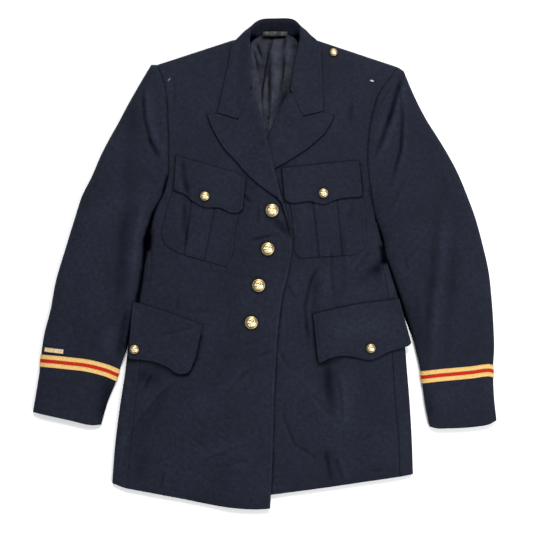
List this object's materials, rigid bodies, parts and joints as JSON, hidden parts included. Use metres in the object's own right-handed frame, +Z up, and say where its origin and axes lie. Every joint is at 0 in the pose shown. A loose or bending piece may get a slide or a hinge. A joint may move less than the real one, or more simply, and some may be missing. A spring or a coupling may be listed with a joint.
{
  "type": "military dress tunic",
  "caption": "Single-breasted dress tunic laid out flat, peak lapels, flapped chest and hip pockets, metal buttons and braided cuffs; cloth panels with open hem, neck and sleeves.",
  "frame": {"origin": "centre of the footprint on the surface the tunic lies on", "axes": "+Z up from the surface, +Y from hem to collar, +X to the wearer's left"},
  "size_m": [0.766, 0.805, 0.0328],
  "materials": {
    "cloth": "navy worsted serge, soft low sheen",
    "lining": "charcoal satin lining",
    "label": "bare woven strip",
    "braid": "gold metal-thread lace with a red centre",
    "gilt": "gilt stamped brass, lightly worn"
  },
  "bodies": {
    "root": {"front_right": "cloth", "front_left": "cloth", "side_right": "cloth", "side_left": "cloth", "back_right": "cloth", "back_left": "cloth", "topsleeve_right": "cloth", "topsleeve_left": "cloth", "undersleeve_right": "cloth", "undersleeve_left": "cloth", "collar": "cloth", "lapel_right": "cloth", "lapel_left": "cloth", "chest_pocket_right": "cloth", "chest_pocket_left": "cloth", "chest_flap_right": "cloth", "chest_flap_left": "cloth", "hip_flap_right": "cloth", "hip_flap_left": "cloth", "lining_back": "lining", "label": "label", "braid_right": "braid", "braid_left": "braid", "service_bar": "braid", "button_front_1": "gilt", "button_front_2": "gilt", "button_front_3": "gilt", "button_front_4": "gilt", "button_chest_right": "gilt", "button_chest_left": "gilt", "button_hip_right": "gilt", "button_hip_left": "gilt", "button_shoulder_left": "gilt"}
  },
  "joints": []
}
